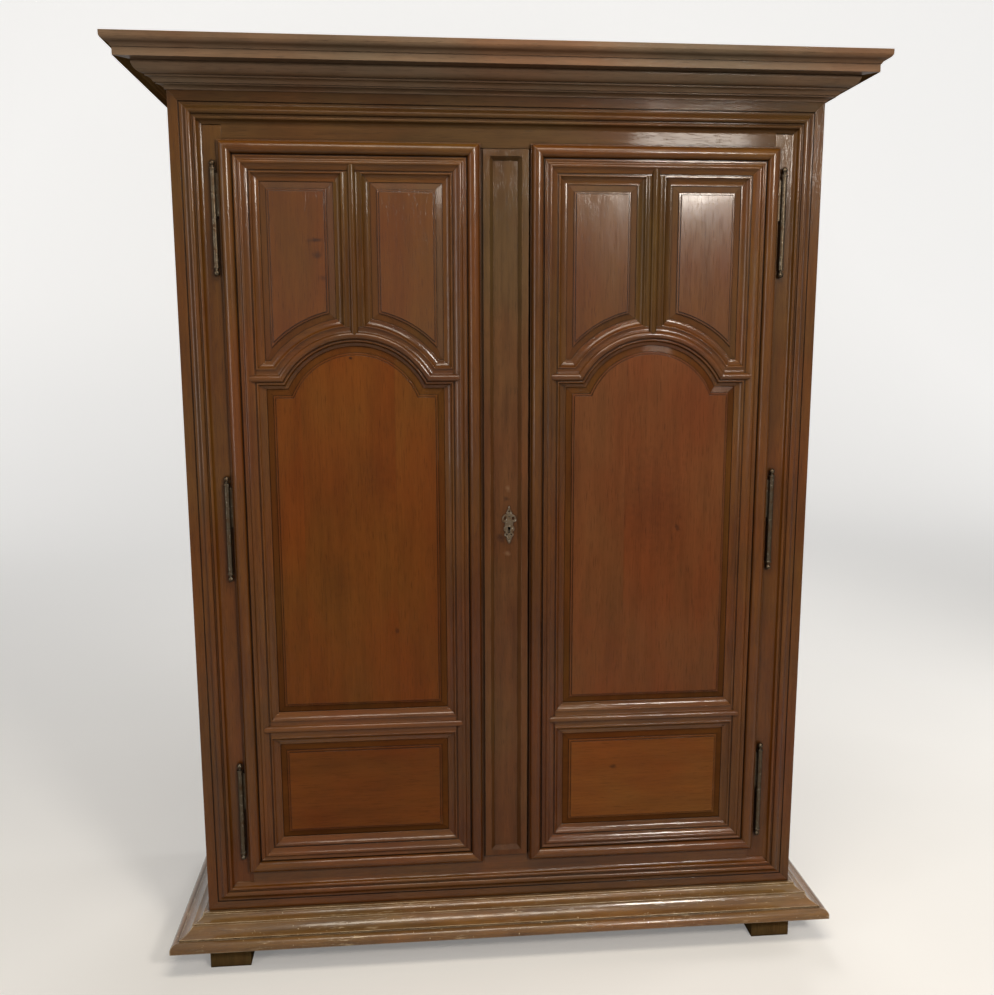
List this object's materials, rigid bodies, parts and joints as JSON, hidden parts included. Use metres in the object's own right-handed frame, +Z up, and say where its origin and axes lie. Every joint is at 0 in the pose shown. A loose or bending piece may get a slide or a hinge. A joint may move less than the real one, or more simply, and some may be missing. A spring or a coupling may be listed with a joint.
{
  "type": "linen cupboard",
  "caption": "Tall walnut linen cupboard with moulded cornice and base, arched panelled doors, a centre strip with an iron escutcheon, long pin hinges, shelves and block feet.",
  "frame": {"origin": "on the floor, below the middle of the overall box", "axes": "+Z up, +X to the right as seen from the front, the doors face -Y"},
  "size_m": [1.696, 0.668, 2.167],
  "materials": {
    "walnut": "waxed, worn pale on the edges",
    "walnut_panel": "waxed, figured",
    "inner_wood": "planed, unpolished",
    "foot_wood": "rough and scuffed",
    "iron": "dark wrought iron, worn bright in spots"
  },
  "bodies": {
    "case": {"left_front_post": "walnut", "right_front_post": "walnut", "left_back_post": "inner_wood", "right_back_post": "inner_wood", "front_top_rail": "walnut", "front_bottom_rail": "walnut", "left_side_rails": "walnut", "right_side_rails": "walnut", "left_side_panels": "walnut_panel", "right_side_panels": "walnut_panel", "back_top_rail": "inner_wood", "back_bottom_rail": "inner_wood", "back_boards": "inner_wood", "floor_boards": "inner_wood", "dust_top": "inner_wood", "lower_shelf": "inner_wood", "middle_shelf": "inner_wood", "upper_shelf": "inner_wood", "shelf_battens": "inner_wood", "cornice_front": "walnut", "cornice_left": "walnut", "cornice_right": "walnut", "base_front": "walnut", "base_left": "walnut", "base_right": "walnut", "front_feet": "foot_wood", "back_feet": "foot_wood", "left_post_hinges": "iron", "right_post_hinges": "iron"},
    "left_door": {"left_hinge_stile": "walnut", "left_meeting_stile": "walnut", "left_top_rail": "walnut", "left_bottom_rail": "walnut", "left_mid_rail": "walnut", "left_arch_rail": "walnut", "left_muntin": "walnut", "left_upper_panels": "walnut_panel", "left_main_panel": "walnut_panel", "left_lower_panel": "walnut_panel", "left_door_hinges": "iron", "centre_strip": "walnut", "escutcheon": "iron", "lock_case": "iron"},
    "right_door": {"right_hinge_stile": "walnut", "right_meeting_stile": "walnut", "right_top_rail": "walnut", "right_bottom_rail": "walnut", "right_mid_rail": "walnut", "right_arch_rail": "walnut", "right_muntin": "walnut", "right_upper_panels": "walnut_panel", "right_main_panel": "walnut_panel", "right_lower_panel": "walnut_panel", "right_door_hinges": "iron", "lock_keeper": "iron", "bolt_guides": "iron"},
    "lock_bolt": {"lock_bolt": "iron"},
    "upper_bolt": {"upper_bolt": "iron"},
    "lower_bolt": {"lower_bolt": "iron"}
  },
  "joints": [
    {"name": "left_door_swing", "type": "hinge", "parent": "case", "child": "left_door", "pos_m": [-0.649, -0.235, 1.104], "axis": [0, 0, -1], "range_deg": [0, 120]},
    {"name": "right_door_swing", "type": "hinge", "parent": "case", "child": "right_door", "pos_m": [0.649, -0.235, 1.104], "axis": [0, 0, 1], "range_deg": [0, 120]},
    {"name": "lock_bolt_slide", "type": "slide", "parent": "left_door", "child": "lock_bolt", "axis": [1, 0, 0], "range_m": [0, 0.018]},
    {"name": "upper_bolt_slide", "type": "slide", "parent": "right_door", "child": "upper_bolt", "axis": [0, 0, 1], "range_m": [0, 0.018]},
    {"name": "lower_bolt_slide", "type": "slide", "parent": "right_door", "child": "lower_bolt", "axis": [0, 0, -1], "range_m": [0, 0.018]}
  ]
}
